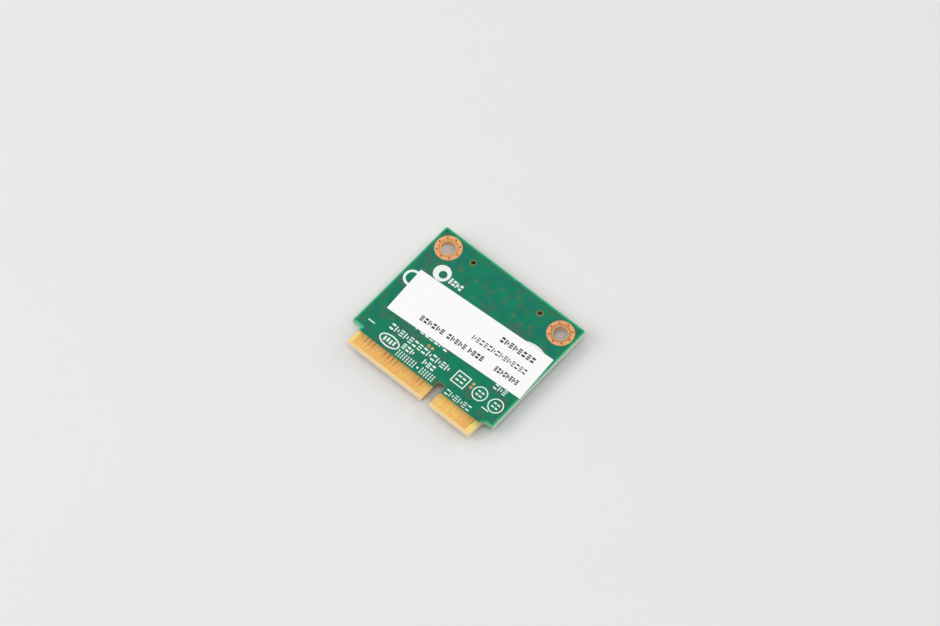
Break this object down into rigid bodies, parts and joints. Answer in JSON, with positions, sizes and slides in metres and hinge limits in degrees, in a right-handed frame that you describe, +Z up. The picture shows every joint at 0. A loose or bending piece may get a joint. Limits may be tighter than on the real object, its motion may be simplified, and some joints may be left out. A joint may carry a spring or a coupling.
{
  "type": "half-length mini card for wireless networking",
  "caption": "Small wireless network card: green board with a notched gold contact tongue, two plated mounting holes, a paper label and a shield can with antenna jacks underneath.",
  "frame": {"origin": "under the middle of the card, on the outer face of the shield lid that it lies on", "axes": "+X along the 30 mm edge, +Y from the contact tongue to the mounting holes, +Z up out of the label side"},
  "size_m": [0.03, 0.0268, 0.0025],
  "materials": {
    "laminate": "glass-epoxy board edge, pale yellow",
    "solder_mask": "green lacquer film, satin gloss",
    "gold_plate": "thin gold over copper",
    "bare_copper": "bare copper, salmon pink",
    "paper": "white coated label paper",
    "tinned_copper": "solder-tinned copper",
    "shield_sheet": "tin-plated thin sheet",
    "chip_resin": "black moulding resin",
    "soft_pad": "soft grey silicone",
    "brown_ceramic": "fired ceramic, tan brown",
    "white_ceramic": "fired ceramic, off white",
    "black_glaze": "black glazed resistor face",
    "ferrite": "dark grey pressed ferrite",
    "end_metal": "matt tinned end cap",
    "insulator": "ivory moulded plastic",
    "jack_metal": "gold-plated phosphor bronze"
  },
  "bodies": {
    "root": {"circuit_board": "laminate", "label_side_mask": "solder_mask", "component_side_mask": "solder_mask", "label_side_contacts": "gold_plate", "component_side_contacts": "gold_plate", "mounting_hole_plating": "bare_copper", "test_pads": "bare_copper", "label": "paper", "ground_track": "tinned_copper", "shield_frame": "shield_sheet", "shield_lid": "shield_sheet", "component_lands": "tinned_copper", "radio_chip": "chip_resin", "thermal_pad": "soft_pad", "front_end_modules": "chip_resin", "power_regulator": "chip_resin", "memory_chip": "chip_resin", "crystal_base": "brown_ceramic", "crystal_lid": "end_metal", "inductor_bodies": "ferrite", "inductor_terminals": "end_metal", "filter_bodies": "white_ceramic", "filter_terminals": "end_metal", "capacitor_bodies": "brown_ceramic", "capacitor_terminals": "end_metal", "resistor_bodies": "black_glaze", "resistor_terminals": "end_metal", "jack_bases": "insulator", "jack_rings": "jack_metal", "jack_contacts": "jack_metal"}
  },
  "joints": []
}
